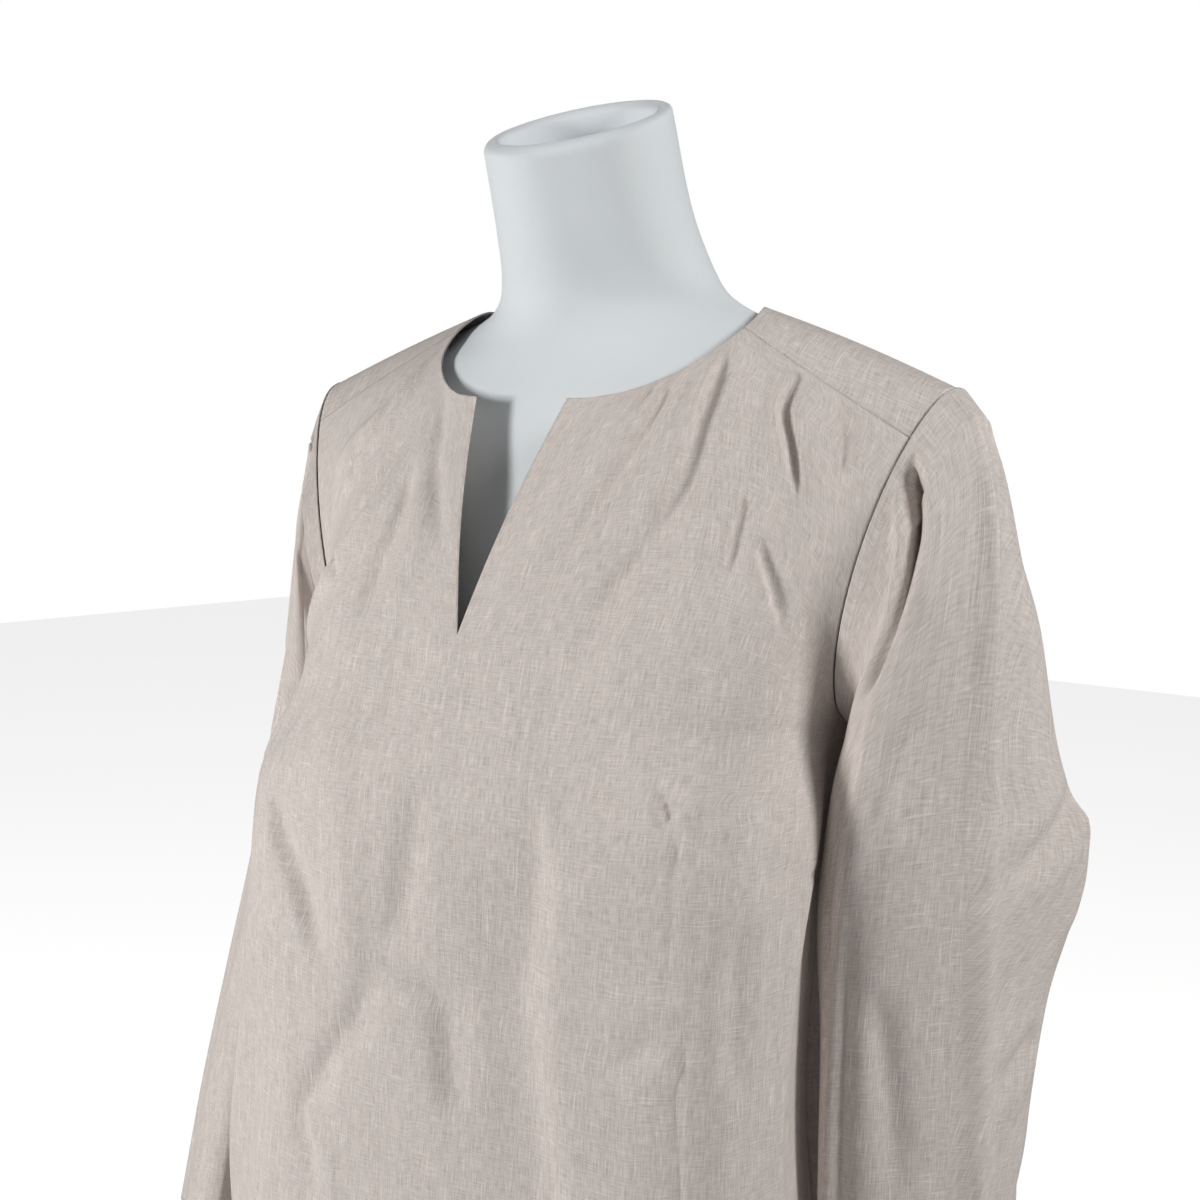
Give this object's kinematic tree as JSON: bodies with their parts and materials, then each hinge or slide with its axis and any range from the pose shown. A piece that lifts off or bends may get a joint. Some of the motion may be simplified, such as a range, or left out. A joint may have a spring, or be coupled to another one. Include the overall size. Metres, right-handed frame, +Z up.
{
  "type": "blouse on a limbless dress form",
  "caption": "Long-sleeved linen blouse with a slit round neck, front yoke seams and bust darts, standing on a limbless jersey-covered dress form.",
  "frame": {"origin": "middle of the form's flat underside", "axes": "+Z up, +X to the wearer's left, -Y to the front"},
  "size_m": [0.5707, 0.2952, 0.8721],
  "materials": {
    "linen": "plain-weave linen, beige-taupe with a pink tint and slubs in both directions, matt with a faint sheen",
    "jersey": "fine bluish white knitted jersey, smooth and matt"
  },
  "bodies": {
    "root": {"form_torso": "jersey", "form_neck": "jersey", "front": "linen", "back": "linen", "yoke": "linen", "sleeve_left": "linen", "sleeve_right": "linen"}
  },
  "joints": []
}
